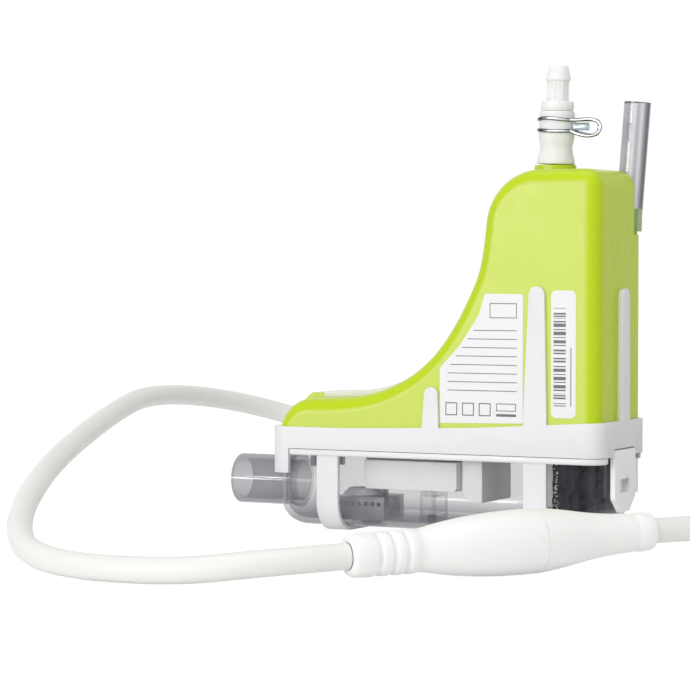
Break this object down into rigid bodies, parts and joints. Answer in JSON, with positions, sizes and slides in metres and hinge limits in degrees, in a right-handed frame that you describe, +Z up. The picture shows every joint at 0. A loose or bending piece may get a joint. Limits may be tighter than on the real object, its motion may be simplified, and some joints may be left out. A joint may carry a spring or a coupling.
{
  "type": "condensate pump",
  "caption": "Small condensate pump: motor housing clipped over a clear float reservoir, with outlet hose barb, breather tube, inline mains connector and coiled lead.",
  "frame": {"origin": "on the ground, in the middle between the two straps that the pump stands on", "axes": "+Z up; +X along the pump from the inlet spigot to the latch; -Y is the front with the two labels"},
  "size_m": [0.3144, 0.3208, 0.1447],
  "materials": {
    "lime_plastic": "smooth lime green moulding",
    "soft_white": "white elastomer, satin",
    "white_plastic": "white moulding",
    "smoky_clear": "smoke-grey transparent",
    "frosted": "frosted clear",
    "grey_silicone": "grey silicone, satin",
    "steel_wire": "bright steel",
    "clear_vinyl": "clear flexible tube",
    "white_nylon": "natural white nylon",
    "black_foam": "open-cell black foam",
    "black_rubber": "matt",
    "ferrite": "dark grey ferrite",
    "laminations": "blued steel sheets",
    "enamelled_copper": "enamelled wire",
    "board_green": "solder mask",
    "black_plastic": "matt",
    "capacitor_blue": "sleeved can",
    "barrel_brass": "turned",
    "piston_steel": "ground",
    "label_foil": "blank satin foil",
    "cable_sheath": "off-white PVC",
    "core_insulation": "coloured PVC cores"
  },
  "bodies": {
    "reservoir": {"reservoir_tank": "smoky_clear", "reservoir_cradle": "white_plastic", "reservoir_gasket": "grey_silicone", "strainer_basket": "frosted", "strainer_hood": "frosted", "foam_block": "black_foam", "float_guide": "frosted", "drain_plug": "black_rubber", "pump_tail": "cable_sheath", "connector_inlet": "white_plastic", "inlet_pins": "barrel_brass"},
    "latch": {"latch_strap": "soft_white"},
    "float": {"sensor_float": "white_plastic", "float_magnet": "ferrite"},
    "armature": {"piston": "piston_steel", "piston_ring": "white_nylon"},
    "inlet_poppet": {"inlet_valve": "black_rubber"},
    "outlet_poppet": {"outlet_valve": "black_rubber"},
    "lead": {"connector_socket": "white_plastic", "socket_contacts": "barrel_brass", "mains_lead": "cable_sheath", "lead_coil": "cable_sheath", "lead_end": "cable_sheath", "lead_cores": "core_insulation", "core_ferrules": "steel_wire"},
    "pump_unit": {"housing_shell": "lime_plastic", "rear_cover": "lime_plastic", "cover_screws": "steel_wire", "isolation_frame": "soft_white", "deck_plate": "white_plastic", "deck_screws": "steel_wire", "sensor_pod": "white_plastic", "hall_sensor": "black_plastic", "coil_yoke": "laminations", "coil_bobbin": "black_plastic", "coil_winding": "enamelled_copper", "pump_cylinder": "barrel_brass", "inlet_tube": "frosted", "inlet_filter": "white_plastic", "outlet_head": "white_nylon", "inlet_valve_spring": "steel_wire", "outlet_valve_spring": "steel_wire", "lower_spring": "steel_wire", "upper_spring": "steel_wire", "pump_bracket": "black_plastic", "rubber_feet": "black_rubber", "outlet_hose": "grey_silicone", "outlet_adaptor": "white_nylon", "hose_clip": "steel_wire", "breather_tube": "clear_vinyl", "circuit_board": "board_green", "board_posts": "white_nylon", "alarm_relay": "black_plastic", "capacitor": "capacitor_blue", "mains_choke": "ferrite", "terminal_block": "board_green", "thermal_cutout": "black_plastic", "rating_label": "label_foil", "serial_label": "label_foil", "tail_relief": "cable_sheath"}
  },
  "joints": [
    {"name": "pump_lift", "type": "slide", "parent": "reservoir", "child": "pump_unit", "axis": [0, 0, 1], "range_m": [0, 0.025]},
    {"name": "latch_swing", "type": "hinge", "parent": "pump_unit", "child": "latch", "pos_m": [0.05565, 0, 0.0272], "axis": [0, -1, 0], "range_deg": [0, 60]},
    {"name": "float_rise", "type": "slide", "parent": "reservoir", "child": "float", "axis": [0, 0, 1], "range_m": [0, 0.0033]},
    {"name": "armature_stroke", "type": "slide", "parent": "pump_unit", "child": "armature", "axis": [0, 0, 1], "range_m": [0, 0.003], "stiffness_N_per_m": 200, "deforming": ["upper_spring", "lower_spring"]},
    {"name": "inlet_valve_lift", "type": "slide", "parent": "pump_unit", "child": "inlet_poppet", "axis": [0, 0, 1], "range_m": [0, 0.001], "stiffness_N_per_m": 20, "deforming": ["inlet_valve_spring"]},
    {"name": "outlet_valve_lift", "type": "slide", "parent": "pump_unit", "child": "outlet_poppet", "axis": [0, 0, 1], "range_m": [0, 0.001], "stiffness_N_per_m": 20, "deforming": ["outlet_valve_spring"]},
    {"name": "connector_unplug", "type": "slide", "parent": "reservoir", "child": "lead", "axis": [0.609, 0.7926, 0.029], "range_m": [0, 0.02]}
  ],
  "couplings": [
    {"joint": "latch_swing", "follows": "pump_lift", "rad_per_m": 40}
  ]
}
